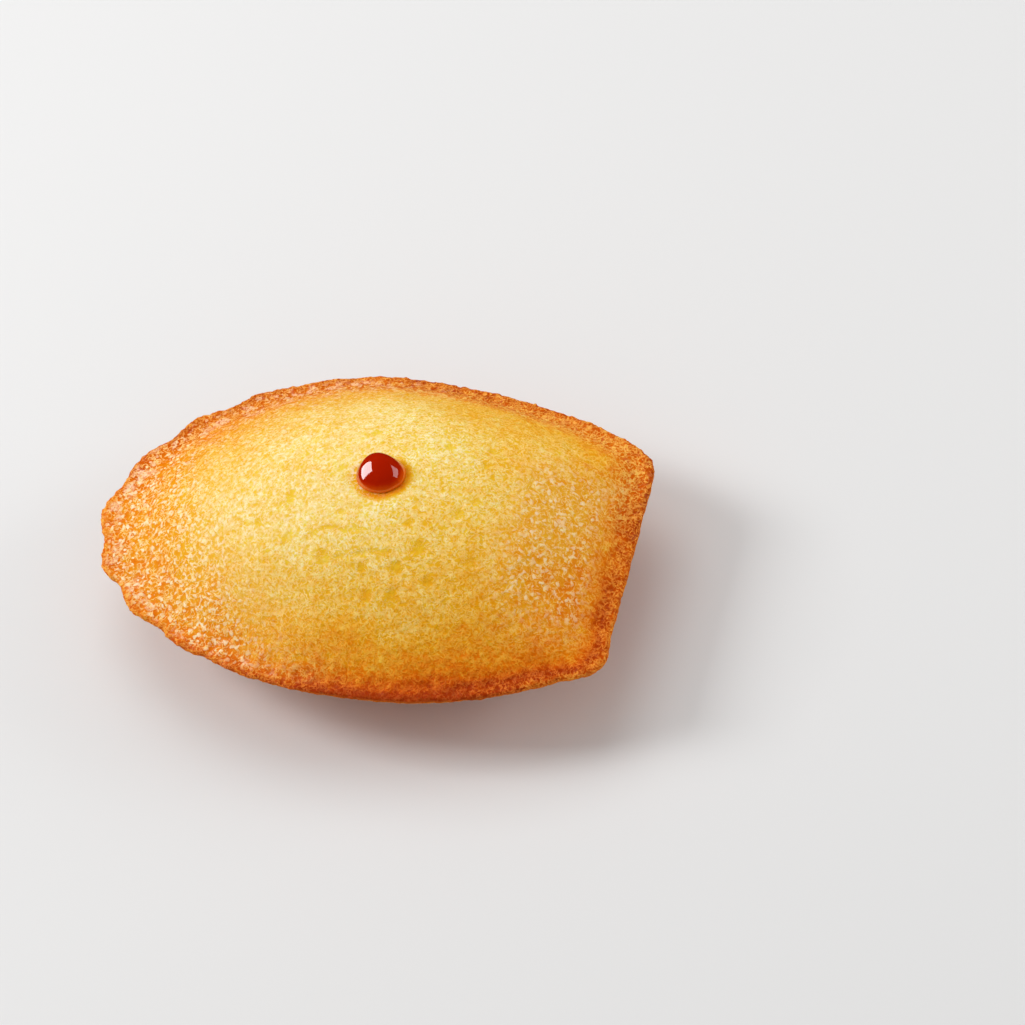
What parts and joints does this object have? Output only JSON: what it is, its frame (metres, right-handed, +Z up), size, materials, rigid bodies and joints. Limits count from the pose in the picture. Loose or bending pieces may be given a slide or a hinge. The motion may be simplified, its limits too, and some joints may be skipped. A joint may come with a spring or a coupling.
{
  "type": "madeleine cake",
  "caption": "Shell-shaped sponge cake with a ribbed underside, a scalloped tip, a straight hinge end and a glossy drop of filling on its domed top.",
  "frame": {"origin": "on the resting surface, under the middle of the cake's outline", "axes": "+X along the cake towards its straight hinge end, +Z up through the hump, the scalloped tip at -X"},
  "size_m": [0.08, 0.0548, 0.0307],
  "materials": {
    "sponge": "fine open crumb, pale yellow on the hump, browned at the rim and orange-brown on the ribbed shell, slightly buttery",
    "filling": "wet and glossy, dark red-brown, a little translucent at its thin foot"
  },
  "bodies": {
    "root": {"cake": "sponge", "filling_drop": "filling"}
  },
  "joints": []
}
